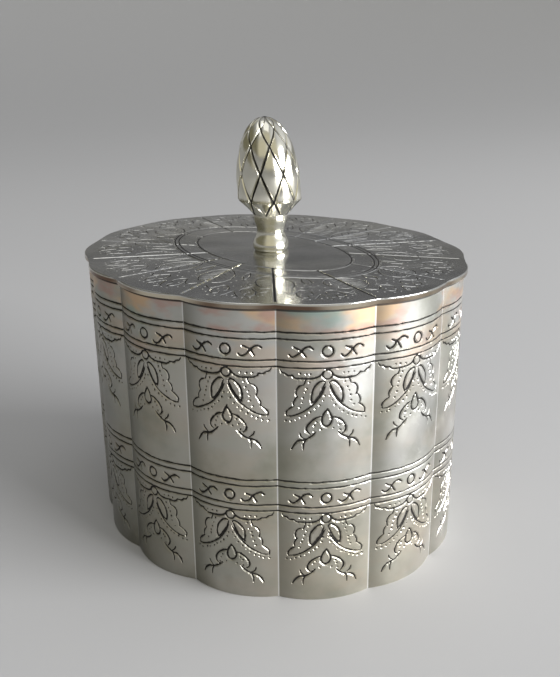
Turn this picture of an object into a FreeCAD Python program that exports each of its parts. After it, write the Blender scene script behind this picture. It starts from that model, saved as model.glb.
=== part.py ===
import FreeCAD, Part
import math
import os
import Sketcher
from FreeCAD import Vector

# A lobed oval box in sheet metal, with a flat lift-off lid and an acorn finial.
# Millimetres. The origin is the centre of the base, on the surface that the box stands on.
# X runs along the oval's long axis, Y along its short one, Z up.

doc = FreeCAD.newDocument("trinket_box")

# Driving dimensions: name, value, what it is
DIMENSIONS = [
    ("oval_half_length", 54.0, "ellipse through the wall's creases, half its long axis"),
    ("oval_half_width", 46.5, "the same ellipse, half its short axis"),
    ("lobe_count", 14, "lobes round the wall"),
    ("lobe_rise", 2.8, "how far a lobe swells beyond the line between its creases"),
    ("wall_height", 74.7, "from the foot to the edge that the lid rests on"),
    ("wall_thickness", 1.1, "sheet of the wall"),
    ("base_thickness", 1.0, "sheet of the bottom"),
    ("lid_thickness", 1.3, "plate of the lid"),
    ("lid_overhang", 0.85, "how far the lid stands out past the wall"),
    ("lid_edge_bevel", 0.25, "bevel round the lid's upper edge"),
    ("flange_height", 5.0, "how far the lid's flange drops into the box"),
    ("flange_thickness", 0.9, "sheet of the flange"),
    ("flange_clearance", 0.25, "gap between the flange and the wall"),
    ("line_width", 0.5, "width of an engraved line"),
    ("line_depth", 0.3, "depth of an engraved line"),
    ("line_pitch", 1.6, "between the two lines of a double line"),
    ("upper_band_below_edge", 9.7, "from the wall's edge down to the upper band's centre line"),
    ("lower_band_middle", 28.3, "height of the lower band's centre line"),
    ("band_height", 8.2, "between the outermost lines of a band"),
    ("motif_half_width", 10.2, "hanging motif, from the lobe's middle to its outermost point"),
    ("motif_reach", 18.1, "hanging motif, from the band's middle down to its lowest point"),
    ("motif_depth", 0.3, "depth of the hanging motif"),
    ("inner_ring_half_length", 27.6, "oval line round the plain centre of the lid"),
    ("inner_ring_half_width", 16.0, "the same oval, half its short axis"),
    ("outer_ring_half_length", 34.6, "double oval line on the lid"),
    ("outer_ring_half_width", 20.6, "the same oval, half its short axis"),
    ("ring_pitch", 1.1, "between the outer oval's two lines"),
    ("finial_height", 35.5, "from the lid to the acorn's tip"),
    ("finial_turn", -4.0, "how far the acorn's lattice is turned, in degrees"),
    ("acorn_radius", 8.75, "the acorn at its shoulder, where it is widest"),
    ("acorn_start", 9.9, "height of the acorn's lowest points above the lid"),
    ("acorn_shoulder", 14.0, "height of the acorn's sharp shoulder above the lid"),
    ("lattice_count", 8, "diamonds round the acorn"),
    ("groove_width", 0.9, "width of the acorn's grooves"),
    ("groove_depth", 0.45, "depth of the acorn's grooves"),
    ("stem_top_radius", 4.7, "where the stem meets the acorn"),
    ("stem_neck_radius", 3.75, "the stem's waist"),
    ("stem_neck_height", 5.2, "height of the waist above the lid"),
    ("stem_foot_radius", 4.9, "the stem's rounded foot"),
    ("stem_foot_height", 2.2, "height of the rounded foot"),
    ("stud_radius", 1.5, "stud under the finial"),
    ("stud_clearance", 0.1, "gap round the stud in the lid, washer and nut"),
    ("stud_end", 0.8, "how far the stud shows below its nut"),
    ("washer_radius", 4.0, "washer under the lid"),
    ("washer_thickness", 0.6, "washer under the lid"),
    ("nut_across_flats", 5.5, "nut under the washer"),
    ("nut_thickness", 2.4, "nut under the washer"),
]

sheet = doc.addObject("Spreadsheet::Sheet", "sizes")
for row, (name, value, meaning) in enumerate(DIMENSIONS, start=1):
    sheet.set(f"A{row}", name)
    sheet.set(f"B{row}", str(value))
    sheet.set(f"C{row}", meaning)
    sheet.setAlias(f"B{row}", name)
doc.recompute()


def size(name):
    """A driving dimension, read from the sheet."""
    return float(sheet.get(name))


# The lobed outline. Its creases lie on an ellipse, one equal step apart, starting at the -Y end.
HALF_LENGTH = size("oval_half_length")
HALF_WIDTH = size("oval_half_width")
LOBES = int(size("lobe_count"))
LOBE_RISE = size("lobe_rise")
UP = Vector(0, 0, 1)
BISECTIONS = 50


def on_ellipse(angle):
    return Vector(HALF_LENGTH * math.sin(angle), -HALF_WIDTH * math.cos(angle), 0)


def step_along(angle, chord):
    """The angle one chord further round the ellipse."""
    start = on_ellipse(angle)
    low, high = angle, angle + math.pi / 2
    for _ in range(BISECTIONS):
        middle = (low + high) / 2
        if (on_ellipse(middle) - start).Length < chord:
            low = middle
        else:
            high = middle
    return low


def crease_angles(chord):
    angles = [0.0]
    for _ in range(LOBES):
        angles.append(step_along(angles[-1], chord))
    return angles


def equal_chord():
    """The chord that closes the outline after one step for each lobe."""
    low, high = 0.0, 2 * math.pi * HALF_LENGTH / LOBES
    for _ in range(BISECTIONS):
        middle = (low + high) / 2
        if crease_angles(middle)[-1] < 2 * math.pi:
            low = middle
        else:
            high = middle
    return low


LOBE_CHORD = equal_chord()
CREASES = [on_ellipse(angle) for angle in crease_angles(LOBE_CHORD)[:LOBES]]
LOBE_RADIUS = LOBE_CHORD ** 2 / (8 * LOBE_RISE) + LOBE_RISE / 2


def lobe_direction(index):
    """Which way the middle of a lobe faces."""
    along = CREASES[(index + 1) % LOBES] - CREASES[index % LOBES]
    return Vector(along.y, -along.x, 0).normalize()


def lobe_centre(index):
    """The centre of a lobe's arc."""
    chord_middle = (CREASES[index % LOBES] + CREASES[(index + 1) % LOBES]) * 0.5
    return chord_middle - lobe_direction(index) * (LOBE_RADIUS - LOBE_RISE)


def crease(index, offset):
    """Where two neighbouring arcs meet, this far outside the wall's outer face."""
    before, after = lobe_centre(index - 1), lobe_centre(index)
    half = (after - before) * 0.5
    outwards = Vector(half.y, -half.x, 0).normalize()
    radius = LOBE_RADIUS + offset
    return before + half + outwards * math.sqrt(radius ** 2 - half.Length ** 2)


def add_lobed_outline(sketch, offset):
    """A closed outline of arcs, this far outside the wall's outer face."""
    first = sketch.GeometryCount
    for index in range(LOBES):
        centre = lobe_centre(index)
        start = crease(index, offset) - centre
        end = crease(index + 1, offset) - centre
        circle = Part.Circle(centre, UP, LOBE_RADIUS + offset)
        start_angle = math.atan2(start.y, start.x)
        end_angle = math.atan2(end.y, end.x)
        sketch.addGeometry(Part.ArcOfCircle(circle, start_angle, end_angle), False)
    for index in range(LOBES):
        this_arc = first + index
        next_arc = first + (index + 1) % LOBES
        sketch.addConstraint(Sketcher.Constraint("Coincident", this_arc, 2, next_arc, 1))


def add_polygon(sketch, points):
    """A closed outline of straight lines."""
    first = sketch.GeometryCount
    count = len(points)
    for index, point in enumerate(points):
        following = points[(index + 1) % count]
        sketch.addGeometry(Part.LineSegment(point, following), False)
    for index in range(count):
        following = first + (index + 1) % count
        sketch.addConstraint(Sketcher.Constraint("Coincident", first + index, 2, following, 1))


# Small helpers that make the document's objects
def new_body(name):
    body = doc.addObject("PartDesign::Body", name)
    body.Label = name
    return body


def new_sketch(body, name, role="XY_Plane", height=None):
    """A sketch on one of the body's own planes, raised by an expression."""
    plane = next(item for item in body.Origin.OriginFeatures if item.Role == role)
    sketch = body.newObject("Sketcher::SketchObject", name)
    sketch.AttachmentSupport = [(plane, "")]
    sketch.MapMode = "FlatFace"
    if height:
        sketch.setExpression("AttachmentOffset.Base.z", height)
    return sketch


def pad(body, sketch, name, length):
    feature = body.newObject("PartDesign::Pad", name)
    feature.Profile = sketch
    feature.setExpression("Length", length)
    return feature


def pocket(body, sketch, name, length):
    """A cut from the sketch downwards, which has to take something away."""
    doc.recompute()
    before = body.Shape.Volume
    feature = body.newObject("PartDesign::Pocket", name)
    feature.Profile = sketch
    feature.setExpression("Length", length)
    doc.recompute()
    if body.Shape.Volume >= before:
        raise RuntimeError(f"{name} cuts nothing")
    return feature


# The wall: one lobed strip, open above and below, with two engraved bands
OUTSIDE = 1.0
WALL_INSIDE = -size("wall_thickness")
LINE_DEPTH = size("line_depth")

wall_sheet = new_body("wall_sheet")
wall_sketch = new_sketch(wall_sheet, "wall_outline")
add_lobed_outline(wall_sketch, 0)
add_lobed_outline(wall_sketch, WALL_INSIDE)
pad(wall_sheet, wall_sketch, "wall_strip", "sizes.wall_height")

BAND_MIDDLES = {
    "upper_band": "sizes.wall_height - sizes.upper_band_below_edge",
    "lower_band": "sizes.lower_band_middle",
}

for band, middle in BAND_MIDDLES.items():
    edge = "sizes.band_height / 2"
    heights = {
        "top": edge,
        "under_top": f"{edge} - sizes.line_pitch",
        "over_bottom": f"-{edge} + sizes.line_pitch",
        "bottom": f"-{edge}",
    }
    for line, offset in heights.items():
        place = f"{middle} + {offset} + sizes.line_width / 2"
        line_sketch = new_sketch(wall_sheet, f"{band}_{line}_outline", height=place)
        add_lobed_outline(line_sketch, OUTSIDE)
        add_lobed_outline(line_sketch, -LINE_DEPTH)
        pocket(wall_sheet, line_sketch, f"{band}_{line}_line", "sizes.line_width")

# The hanging motif: a pair of top leaves, a pair of hanging leaves with a petal left standing in
# each, and a drop. It is drawn once, in the flat, as seen from outside: across from the lobe's
# middle and up from the band's middle, in millimetres. What lies to the right is mirrored.
DRAWN_HALF_WIDTH = 10.2
DRAWN_REACH = 18.1
TOP_LEAF = [(10.2, -4.8), (1.7, -4.8), (5.5, -6.5)]
LEAF = [(1.1, -7.9), (4.9, -7.0), (6.9, -9.6), (7.6, -13.0), (9.4, -15.9), (4.4, -14.1)]
PETAL = [(1.9, -8.6), (4.2, -9.6), (3.9, -12.2)]
DROP = [(0.0, -14.1), (1.1, -16.4), (0.0, -18.1), (-1.1, -16.4)]
WIDER = size("motif_half_width") / DRAWN_HALF_WIDTH
TALLER = size("motif_reach") / DRAWN_REACH


def add_motif_outline(sketch, drawn, middle, side=1):
    """A drawn outline at its real place, under a band whose middle is at this height."""
    points = [Vector(side * x * WIDER, middle + y * TALLER, 0) for x, y in drawn]
    add_polygon(sketch, points)


motif_sketch = doc.addObject("Sketcher::SketchObject", "motif_outlines")
upright = FreeCAD.Rotation(Vector(1, 0, 0), 90)
motif_sketch.Placement = FreeCAD.Placement(Vector(), upright)
for middle in (size("wall_height") - size("upper_band_below_edge"), size("lower_band_middle")):
    add_motif_outline(motif_sketch, DROP, middle)
    for side in (1, -1):
        for drawn in (TOP_LEAF, LEAF, PETAL):
            add_motif_outline(motif_sketch, drawn, middle, side)

# The drawing is pushed out through a curved skin as deep as the cut. What lies in the skin is the
# cutting tool. Its origin is the centre of a lobe's arc, and it faces -Y.
pushed = doc.addObject("Part::Extrusion", "motif_pushed")
pushed.Base = motif_sketch
pushed.DirMode = "Normal"
pushed.LengthFwd = LOBE_RADIUS + OUTSIDE
pushed.Solid = True
pushed.FaceMakerClass = "Part::FaceMakerBullseye"


def skin_cylinder(name, radius):
    cylinder = doc.addObject("Part::Cylinder", name)
    cylinder.Radius = radius
    cylinder.setExpression("Height", "sizes.wall_height")
    return cylinder


skin = doc.addObject("Part::Cut", "motif_skin")
skin.Base = skin_cylinder("skin_outside", LOBE_RADIUS + OUTSIDE)
skin.Tool = skin_cylinder("skin_inside", LOBE_RADIUS - size("motif_depth"))
motif_tool = doc.addObject("Part::Common", "motif_tool")
motif_tool.Base = pushed
motif_tool.Tool = skin

motifs = doc.addObject("Part::Compound", "motifs")
links = []
for index in range(LOBES):
    link = doc.addObject("App::Link", f"motif_on_lobe_{index + 1}")
    link.LinkedObject = motif_tool
    facing = lobe_direction(index)
    turn = math.degrees(math.atan2(facing.y, facing.x)) + 90
    link.Placement = FreeCAD.Placement(lobe_centre(index), FreeCAD.Rotation(UP, turn))
    links.append(link)
motifs.Links = links
wall = doc.addObject("Part::Cut", "body_wall")
wall.Label = "body_wall"
wall.Base = wall_sheet
wall.Tool = motifs
doc.recompute()
if wall.Shape.Volume >= wall_sheet.Shape.Volume:
    raise RuntimeError("the hanging motifs cut nothing")

# The bottom, soldered inside the foot of the wall
base = new_body("base_plate")
base_sketch = new_sketch(base, "base_outline")
add_lobed_outline(base_sketch, WALL_INSIDE)
pad(base, base_sketch, "base_sheet", "sizes.base_thickness")

# The lid: a flat plate over the wall's edge, drilled for the finial's stud
LID_EDGE = size("lid_overhang")
LINE_WIDTH = size("line_width")
LID_TOP = "sizes.wall_height + sizes.lid_thickness"
STUD_HOLE = size("stud_radius") + size("stud_clearance")

lid = new_body("lid_plate")
lid_sketch = new_sketch(lid, "lid_outline", height="sizes.wall_height")
add_lobed_outline(lid_sketch, LID_EDGE)
pad(lid, lid_sketch, "lid_sheet", "sizes.lid_thickness - sizes.lid_edge_bevel")

# The bevel is a thin layer between two outlines, the upper one smaller all round
lower_rim = new_sketch(lid, "lower_rim_outline", height=f"{LID_TOP} - sizes.lid_edge_bevel")
add_lobed_outline(lower_rim, LID_EDGE)
upper_rim = new_sketch(lid, "upper_rim_outline", height=LID_TOP)
add_lobed_outline(upper_rim, LID_EDGE - size("lid_edge_bevel"))
rim = lid.newObject("PartDesign::AdditiveLoft", "lid_bevel")
rim.Profile = lower_rim
rim.Sections = [upper_rim]
rim.Ruled = True

stud_sketch = new_sketch(lid, "stud_hole_outline", height=LID_TOP)
stud_sketch.addGeometry(Part.Circle(Vector(), UP, STUD_HOLE), False)
pocket(lid, stud_sketch, "stud_hole", "sizes.lid_thickness")
lid_top_height = size("wall_height") + size("lid_thickness")


def add_oval_line(sketch, half_length, half_width):
    """The two edges of an engraved oval line."""
    for side in (-LINE_WIDTH / 2, LINE_WIDTH / 2):
        long_end = Vector(half_length + side, 0, 0)
        short_end = Vector(0, half_width + side, 0)
        sketch.addGeometry(Part.Ellipse(long_end, short_end, Vector()), False)


ring_sketch = new_sketch(lid, "ring_outlines", height=LID_TOP)
inner_ring = size("inner_ring_half_length"), size("inner_ring_half_width")
outer_ring = size("outer_ring_half_length"), size("outer_ring_half_width")
ring_pitch = size("ring_pitch")
add_oval_line(ring_sketch, *inner_ring)
add_oval_line(ring_sketch, *outer_ring)
add_oval_line(ring_sketch, outer_ring[0] + ring_pitch, outer_ring[1] + ring_pitch)
pocket(lid, ring_sketch, "ring_lines", "sizes.line_depth")

radial_sketch = new_sketch(lid, "radial_outlines", height=LID_TOP)
for index in range(LOBES):
    start = crease(index, LID_EDGE)
    inwards = (start * -1).normalize()
    reach = math.hypot(inwards.x / inner_ring[0], inwards.y / inner_ring[1])
    end = inwards * (-1 / reach)
    side = Vector(-inwards.y, inwards.x, 0) * (LINE_WIDTH / 2)
    start = start - inwards * OUTSIDE
    add_polygon(radial_sketch, [start + side, start - side, end - side, end + side])
pocket(lid, radial_sketch, "radial_lines", "sizes.line_depth")

# The flange under the lid, which drops inside the wall
flange = new_body("lid_flange")
flange_outside = WALL_INSIDE - size("flange_clearance")
flange_height = "sizes.wall_height - sizes.flange_height"
flange_sketch = new_sketch(flange, "flange_outline", height=flange_height)
add_lobed_outline(flange_sketch, flange_outside)
add_lobed_outline(flange_sketch, flange_outside - size("flange_thickness"))
pad(flange, flange_sketch, "flange_strip", "sizes.flange_height")

# The finial's stem and stud, turned on the box's own axis. X is the radius here, Y the height.
UNDER_LID = size("wall_height")
STUD_BOTTOM = UNDER_LID - size("washer_thickness") - size("nut_thickness") - size("stud_end")
ACORN_START = size("acorn_start")
# The stem runs a little way into the acorn, and its beads are narrower at their edges
STEM_IN_ACORN = 0.8
BEAD_EDGE = 0.4

foot_radius = size("stem_foot_radius")
foot_height = size("stem_foot_height")
neck_radius = size("stem_neck_radius")
neck_height = size("stem_neck_height")
top_radius = size("stem_top_radius")


def stem_point(radius, height):
    """A point of the stem's outline, at a height above the lid."""
    return Vector(radius, lid_top_height + height, 0)


collar_height = 2 * neck_height - foot_height - BEAD_EDGE
foot_start = stem_point(foot_radius - BEAD_EDGE, 0)
foot_middle = stem_point(foot_radius, foot_height / 2)
foot_end = stem_point(foot_radius - BEAD_EDGE, foot_height)
neck = stem_point(neck_radius, neck_height)
collar = stem_point(top_radius - BEAD_EDGE / 2, collar_height)
collar_middle = stem_point(top_radius, (collar_height + ACORN_START) / 2)
stem_top = stem_point(top_radius - BEAD_EDGE / 4, ACORN_START)
buried_edge = stem_point(neck_radius, ACORN_START + STEM_IN_ACORN)
buried_centre = stem_point(0, ACORN_START + STEM_IN_ACORN)
stud_radius = size("stud_radius")
stud_foot = Vector(0, STUD_BOTTOM, 0)
stud_corner = Vector(stud_radius, STUD_BOTTOM, 0)
stud_root = stem_point(stud_radius, 0)

stem_edges = [
    Part.LineSegment(stud_foot, stud_corner),
    Part.LineSegment(stud_corner, stud_root),
    Part.LineSegment(stud_root, foot_start),
    Part.Arc(foot_start, foot_middle, foot_end),
    Part.Arc(foot_end, neck, collar),
    Part.Arc(collar, collar_middle, stem_top),
    Part.LineSegment(stem_top, buried_edge),
    Part.LineSegment(buried_edge, buried_centre),
    Part.LineSegment(buried_centre, stud_foot),
]
stem = new_body("finial_stem")
stem_sketch = new_sketch(stem, "stem_outline", role="XZ_Plane")
for edge in stem_edges:
    stem_sketch.addGeometry(edge, False)
turning = stem.newObject("PartDesign::Revolution", "stem_turning")
turning.Profile = stem_sketch
turning.ReferenceAxis = (stem_sketch, ["V_Axis"])
turning.Angle = 360

# The acorn: a lattice of pointed diamonds, each one raised at its middle, with grooves between.
# A place on it has a row, from 0 at its lowest points to LAST_ROW at its tip, and a step round it.
ACORN_RADIUS = size("acorn_radius")
SHOULDER = size("acorn_shoulder")
FINIAL_HEIGHT = size("finial_height")
GROOVE_DEPTH = size("groove_depth")
LATTICE = int(size("lattice_count"))
ROW_SHARES = (0.0, 0.34, 0.68, 0.88, 1.0)
LAST_ROW = len(ROW_SHARES)
HALF_STEP = math.pi / LATTICE
TURN = math.radians(size("finial_turn"))
OVAL_POWER = 2.6
TINY = 1e-6
CELL_SIDE = math.hypot(ACORN_RADIUS * HALF_STEP, (FINIAL_HEIGHT - SHOULDER) / (LAST_ROW - 1))
EDGE_SHARE = size("groove_width") / CELL_SIDE


def acorn_profile(row_place):
    """Radius and height above the lid at a place between the rows."""
    if row_place <= 1:
        radius = top_radius + (ACORN_RADIUS - top_radius) * row_place
        return radius, ACORN_START + (SHOULDER - ACORN_START) * row_place
    below = min(int(row_place), LAST_ROW - 1)
    low, high = ROW_SHARES[below - 1], ROW_SHARES[below]
    share = low + (high - low) * (row_place - below)
    radius = ACORN_RADIUS * math.sqrt(max(0.0, 1 - share ** OVAL_POWER))
    return radius, SHOULDER + (FINIAL_HEIGHT - SHOULDER) * share


def acorn_point(row_place, step, depth):
    """A point of the acorn's face, pushed in by a depth."""
    radius, height = acorn_profile(row_place)
    if 0 < row_place < LAST_ROW:
        inner_height = (SHOULDER + FINIAL_HEIGHT) / 2
        slant = Vector(radius, 0, max(0.0, height - inner_height)).normalize()
        radius -= depth * slant.x
        height -= depth * slant.z
    angle = TURN + step * HALF_STEP
    return Vector(radius * math.cos(angle), radius * math.sin(angle), lid_top_height + height)


def diamond(row, step):
    """The triangles of one diamond cell, as points."""
    def corner(right, left):
        depth = GROOVE_DEPTH if right in (0, 1) or left in (0, 1) else 0
        row_place = row - 1 + right + left
        if row_place < -TINY or row_place > LAST_ROW + TINY:
            return None
        return acorn_point(row_place, step + right - left, depth)

    near, far = EDGE_SHARE, 1 - EDGE_SHARE
    outer = [(0, 0), (1, 0), (1, 1), (0, 1)]
    inner = [(near, near), (far, near), (far, far), (near, far)]
    triangles = []
    for index in range(4):
        following = (index + 1) % 4
        triangles.append((outer[index], outer[following], inner[following]))
        triangles.append((outer[index], inner[following], inner[index]))
        triangles.append((inner[index], inner[following], (0.5, 0.5)))
    placed = [[corner(*place) for place in triangle] for triangle in triangles]
    return [points for points in placed if all(point is not None for point in points)]


def acorn_faces():
    faces = []
    for row in range(LAST_ROW):
        for number in range(LATTICE):
            step = 2 * number + (row + 1) % 2
            for points in diamond(row, step):
                sides = [(points[i] - points[i - 1]).Length for i in range(3)]
                if min(sides) > TINY:
                    faces.append(Part.Face(Part.makePolygon(points + points[:1])))
    return faces


def acorn_bottom():
    """The flat face inside the lowest points."""
    shares = (0, EDGE_SHARE, 0.5, 1 - EDGE_SHARE)
    steps = [2 * (number + share) for number in range(LATTICE) for share in shares]
    ring = [acorn_point(0, step, 0) for step in steps]
    return Part.Face(Part.makePolygon(ring + ring[:1]))


acorn = doc.addObject("Part::Feature", "finial_acorn")
acorn_shell = Part.makeShell(acorn_faces() + [acorn_bottom()])
acorn_shell.sewShape()
acorn.Shape = Part.makeSolid(acorn_shell)
if acorn.Shape.Volume < 0:
    acorn.Shape = acorn.Shape.reversed()

finial = doc.addObject("Part::Fuse", "finial")
finial.Label = "finial"
finial.Base = stem
finial.Tool = acorn

# The washer and the nut that hold the finial, under the lid
washer = new_body("finial_washer")
washer_height = "sizes.wall_height - sizes.washer_thickness"
washer_sketch = new_sketch(washer, "washer_outline", height=washer_height)
washer_sketch.addGeometry(Part.Circle(Vector(), UP, size("washer_radius")), False)
washer_sketch.addGeometry(Part.Circle(Vector(), UP, STUD_HOLE), False)
pad(washer, washer_sketch, "washer_disc", "sizes.washer_thickness")

nut = new_body("finial_nut")
nut_height = f"{washer_height} - sizes.nut_thickness"
nut_sketch = new_sketch(nut, "nut_outline", height=nut_height)
nut_corner = size("nut_across_flats") / math.sqrt(3)
corner_angles = [math.radians(60 * number) for number in range(6)]
nut_corners = [Vector(math.cos(a), math.sin(a), 0) * nut_corner for a in corner_angles]
add_polygon(nut_sketch, nut_corners)
nut_sketch.addGeometry(Part.Circle(Vector(), UP, STUD_HOLE), False)
pad(nut, nut_sketch, "nut_block", "sizes.nut_thickness")

doc.recompute()

# Every object has to be sound before anything is written
for item in doc.Objects:
    if "Invalid" in item.State or "Error" in item.State:
        raise RuntimeError(f"{item.Name} failed: {item.State}")

PIECES = [wall, base, lid, flange, finial, washer, nut]
os.makedirs("parts", exist_ok=True)
for piece in PIECES:
    shape = piece.Shape
    if shape.isNull() or not shape.isValid():
        raise RuntimeError(f"{piece.Label} has no valid shape")
    print(piece.Label, "solids", len(shape.Solids), "volume", round(shape.Volume, 2))
for piece in PIECES:
    piece.Shape.exportStep(f"parts/{piece.Label}.step")
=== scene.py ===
# %% [markdown]
# # A lobed silver box with an acorn finial
#
# The real object is a small oval box in silver-coloured sheet metal. Its wall is raised into
# fourteen lobes, the lid is a flat plate that lifts off, and a cast acorn stands on it.
# Everything that catches the eye is cut with a graver: double lines, hanging leaves, scrolls and
# dots, blackened with age. This lesson builds that metalwork on a model whose sizes are fixed.

# %% Load the model that gives every size
import math

import bpy
import numpy as np
from mathutils import Matrix, Vector, geometry


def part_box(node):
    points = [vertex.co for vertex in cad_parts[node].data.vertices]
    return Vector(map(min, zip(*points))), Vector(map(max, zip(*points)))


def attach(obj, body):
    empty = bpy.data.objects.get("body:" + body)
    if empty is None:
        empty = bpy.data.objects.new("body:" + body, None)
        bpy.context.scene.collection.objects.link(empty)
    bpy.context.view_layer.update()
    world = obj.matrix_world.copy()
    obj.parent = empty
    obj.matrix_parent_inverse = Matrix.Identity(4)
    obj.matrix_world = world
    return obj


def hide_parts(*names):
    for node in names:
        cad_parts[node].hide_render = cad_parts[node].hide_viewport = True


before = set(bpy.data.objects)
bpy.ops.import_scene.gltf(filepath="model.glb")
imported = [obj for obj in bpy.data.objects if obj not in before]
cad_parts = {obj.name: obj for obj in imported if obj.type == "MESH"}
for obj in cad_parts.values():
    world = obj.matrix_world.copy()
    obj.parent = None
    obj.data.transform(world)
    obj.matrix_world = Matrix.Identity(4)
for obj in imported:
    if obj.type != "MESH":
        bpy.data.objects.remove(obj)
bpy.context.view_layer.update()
MM = 0.001
WALL_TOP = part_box("body_wall")[1].z / MM
LID_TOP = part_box("lid_plate")[1].z / MM
FINIAL_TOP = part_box("finial")[1].z / MM
print("wall", WALL_TOP, "lid", LID_TOP, "finial", FINIAL_TOP)

# %% [markdown]
# ## The camera
#
# The camera comes first, because every later choice is judged through it. It stands five
# centimetres above the lid, off the corner between the right end and the front. Three angles
# could turn it, but two directions are easier to read: where it looks, and what is to its right.

# %% Camera
def put_in_scene(name, data):
    thing = bpy.data.objects.new(name, data)
    bpy.context.scene.collection.objects.link(thing)
    return thing


CAMERA_PLACE = Vector((0.17506, -0.13441, 0.12647))
CAMERA_LOOKS = Vector((-0.7435, 0.5829, -0.3278)).normalized()
CAMERA_ROLL = -0.010
LENS = 43.38

camera_data = bpy.data.cameras.new("camera")
camera_data.lens = LENS
camera_data.sensor_fit = "VERTICAL"
camera_data.sensor_height = 36
camera_data.clip_start = 0.01
camera = put_in_scene("camera", camera_data)
level_right = CAMERA_LOOKS.cross(Vector((0, 0, 1))).normalized()
level_up = level_right.cross(CAMERA_LOOKS)
right = level_right * math.cos(CAMERA_ROLL) + level_up * math.sin(CAMERA_ROLL)
up = right.cross(CAMERA_LOOKS)
turn = Matrix((right, up, -CAMERA_LOOKS)).transposed()
camera.matrix_world = Matrix.Translation(CAMERA_PLACE) @ turn.to_4x4()
bpy.context.scene.camera = camera
print("camera at", tuple(CAMERA_PLACE))

# %% Two level directions: towards the box's bright side, and towards its front
TO_BRIGHT_SIDE = (0.617, 0.787, 0.0)
TO_FRONT = (0.787, -0.617, 0.0)

# %% [markdown]
# ## The plan of the box
#
# Seen from above, the wall is fourteen equal arcs whose ends, the creases, lie on an ellipse.
# The plan is worked out again here from four sizes, because the engraving has to be laid out
# on each arc in millimetres.

# %% Creases on an ellipse, one equal step apart
HALF_LENGTH, HALF_WIDTH = 54.0, 46.5
LOBES = 14
LOBE_RISE = 2.8
BISECTIONS = 50


def on_ellipse(angle):
    return np.array([HALF_LENGTH * math.sin(angle), -HALF_WIDTH * math.cos(angle)])


def halving(low, high, falls_short):
    """The number between low and high up to which the test still holds."""
    for _ in range(BISECTIONS):
        middle = (low + high) / 2
        if falls_short(middle):
            low = middle
        else:
            high = middle
    return low


def crease_angles(chord):
    """Angles on the ellipse, one chord apart."""
    angles = [0.0]
    for _ in range(LOBES):
        here = on_ellipse(angles[-1])
        step = halving(
            angles[-1], angles[-1] + math.pi / 2,
            lambda angle: np.linalg.norm(on_ellipse(angle) - here) < chord,
        )
        angles.append(step)
    return angles


def equal_chord():
    """The chord that closes the outline after one step for each lobe."""
    longest = 2 * math.pi * HALF_LENGTH / LOBES
    return halving(0.0, longest, lambda chord: crease_angles(chord)[-1] < 2 * math.pi)


CHORD = equal_chord()
CREASES = [on_ellipse(angle) for angle in crease_angles(CHORD)[:LOBES]]
LOBE_RADIUS = CHORD ** 2 / (8 * LOBE_RISE) + LOBE_RISE / 2
LOBE_REACH = LOBE_RADIUS * math.asin(CHORD / 2 / LOBE_RADIUS)
print("chord", round(CHORD, 2), "lobe radius", round(LOBE_RADIUS, 2), "reach", round(LOBE_REACH, 2))


# %% Where each lobe is, and the outline at any distance from the wall's face
def lobe_facing(index):
    along = CREASES[(index + 1) % LOBES] - CREASES[index % LOBES]
    return np.array([along[1], -along[0]]) / np.linalg.norm(along)


def lobe_centre(index):
    middle = (CREASES[index % LOBES] + CREASES[(index + 1) % LOBES]) / 2
    return middle - lobe_facing(index) * (LOBE_RADIUS - LOBE_RISE)


def crease_at(index, offset):
    """Where two neighbouring arcs meet, this far outside the wall's face."""
    before, after = lobe_centre(index - 1), lobe_centre(index)
    half = (after - before) / 2
    outwards = np.array([half[1], -half[0]]) / np.linalg.norm(half)
    return before + half + outwards * math.sqrt((LOBE_RADIUS + offset) ** 2 - half @ half)


def lobe_angles(index, offset, count):
    """Directions of count + 1 even points along one arc, from crease to crease."""
    centre = lobe_centre(index)
    start, end = crease_at(index, offset) - centre, crease_at(index + 1, offset) - centre
    first = math.atan2(start[1], start[0])
    last = math.atan2(end[1], end[0])
    if last < first:
        last += 2 * math.pi
    return np.linspace(first, last, count + 1)


def outline(offset, count):
    """The whole lobed outline as points and the way the metal faces at each."""
    points, facing = [], []
    for index in range(LOBES):
        for angle in lobe_angles(index, offset, count)[:-1]:
            ray = np.array([math.cos(angle), math.sin(angle)])
            points.append(lobe_centre(index) + ray * (LOBE_RADIUS + offset))
            facing.append(ray)
    for index in range(LOBES):
        mean = facing[index * count] + facing[index * count - 1]
        facing[index * count] = mean / np.linalg.norm(mean)
    return np.array(points), np.array(facing)


print("creases at", np.round(CREASES, 1).tolist())

# %% [markdown]
# ## How a graver's cut becomes a mesh
#
# A graver leaves a V-shaped groove. A bump map could only shade it, and light would not break
# on its edge, so the grooves are modelled. Each cut is a path with a width at every point. The
# path and its two edges go into a constrained triangulation, which makes one sheet that has
# every cut as real edges. Then each point sinks by how deep it lies. Where cuts cross, the
# deeper one wins.

# %% Paths given as points are smoothed before they are cut
CUT_STEP = 0.42


def smooth_path(points, step=CUT_STEP):
    """A smooth path through the given points, in short even steps."""
    knots = [np.array(point, float) for point in points]
    knots = [2 * knots[0] - knots[1], *knots, 2 * knots[-1] - knots[-2]]
    path = []
    for before, start, end, after in zip(knots, knots[1:], knots[2:], knots[3:]):
        pieces = max(1, round(np.linalg.norm(end - start) / step))
        for number in range(pieces):
            t = number / pieces
            linear = (end - before) * t
            square = (2 * before - 5 * start + 4 * end - after) * t ** 2
            cube = (3 * start - before - 3 * end + after) * t ** 3
            path.append(start + (linear + square + cube) / 2)
    path.append(knots[-2])
    return np.array(path)


def circle(angles):
    return np.column_stack([np.cos(angles), np.sin(angles)])


def circle_path(x, y, radius, pieces=16):
    return np.array([x, y]) + radius * circle(np.linspace(0, 2 * math.pi, pieces + 1))


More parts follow.
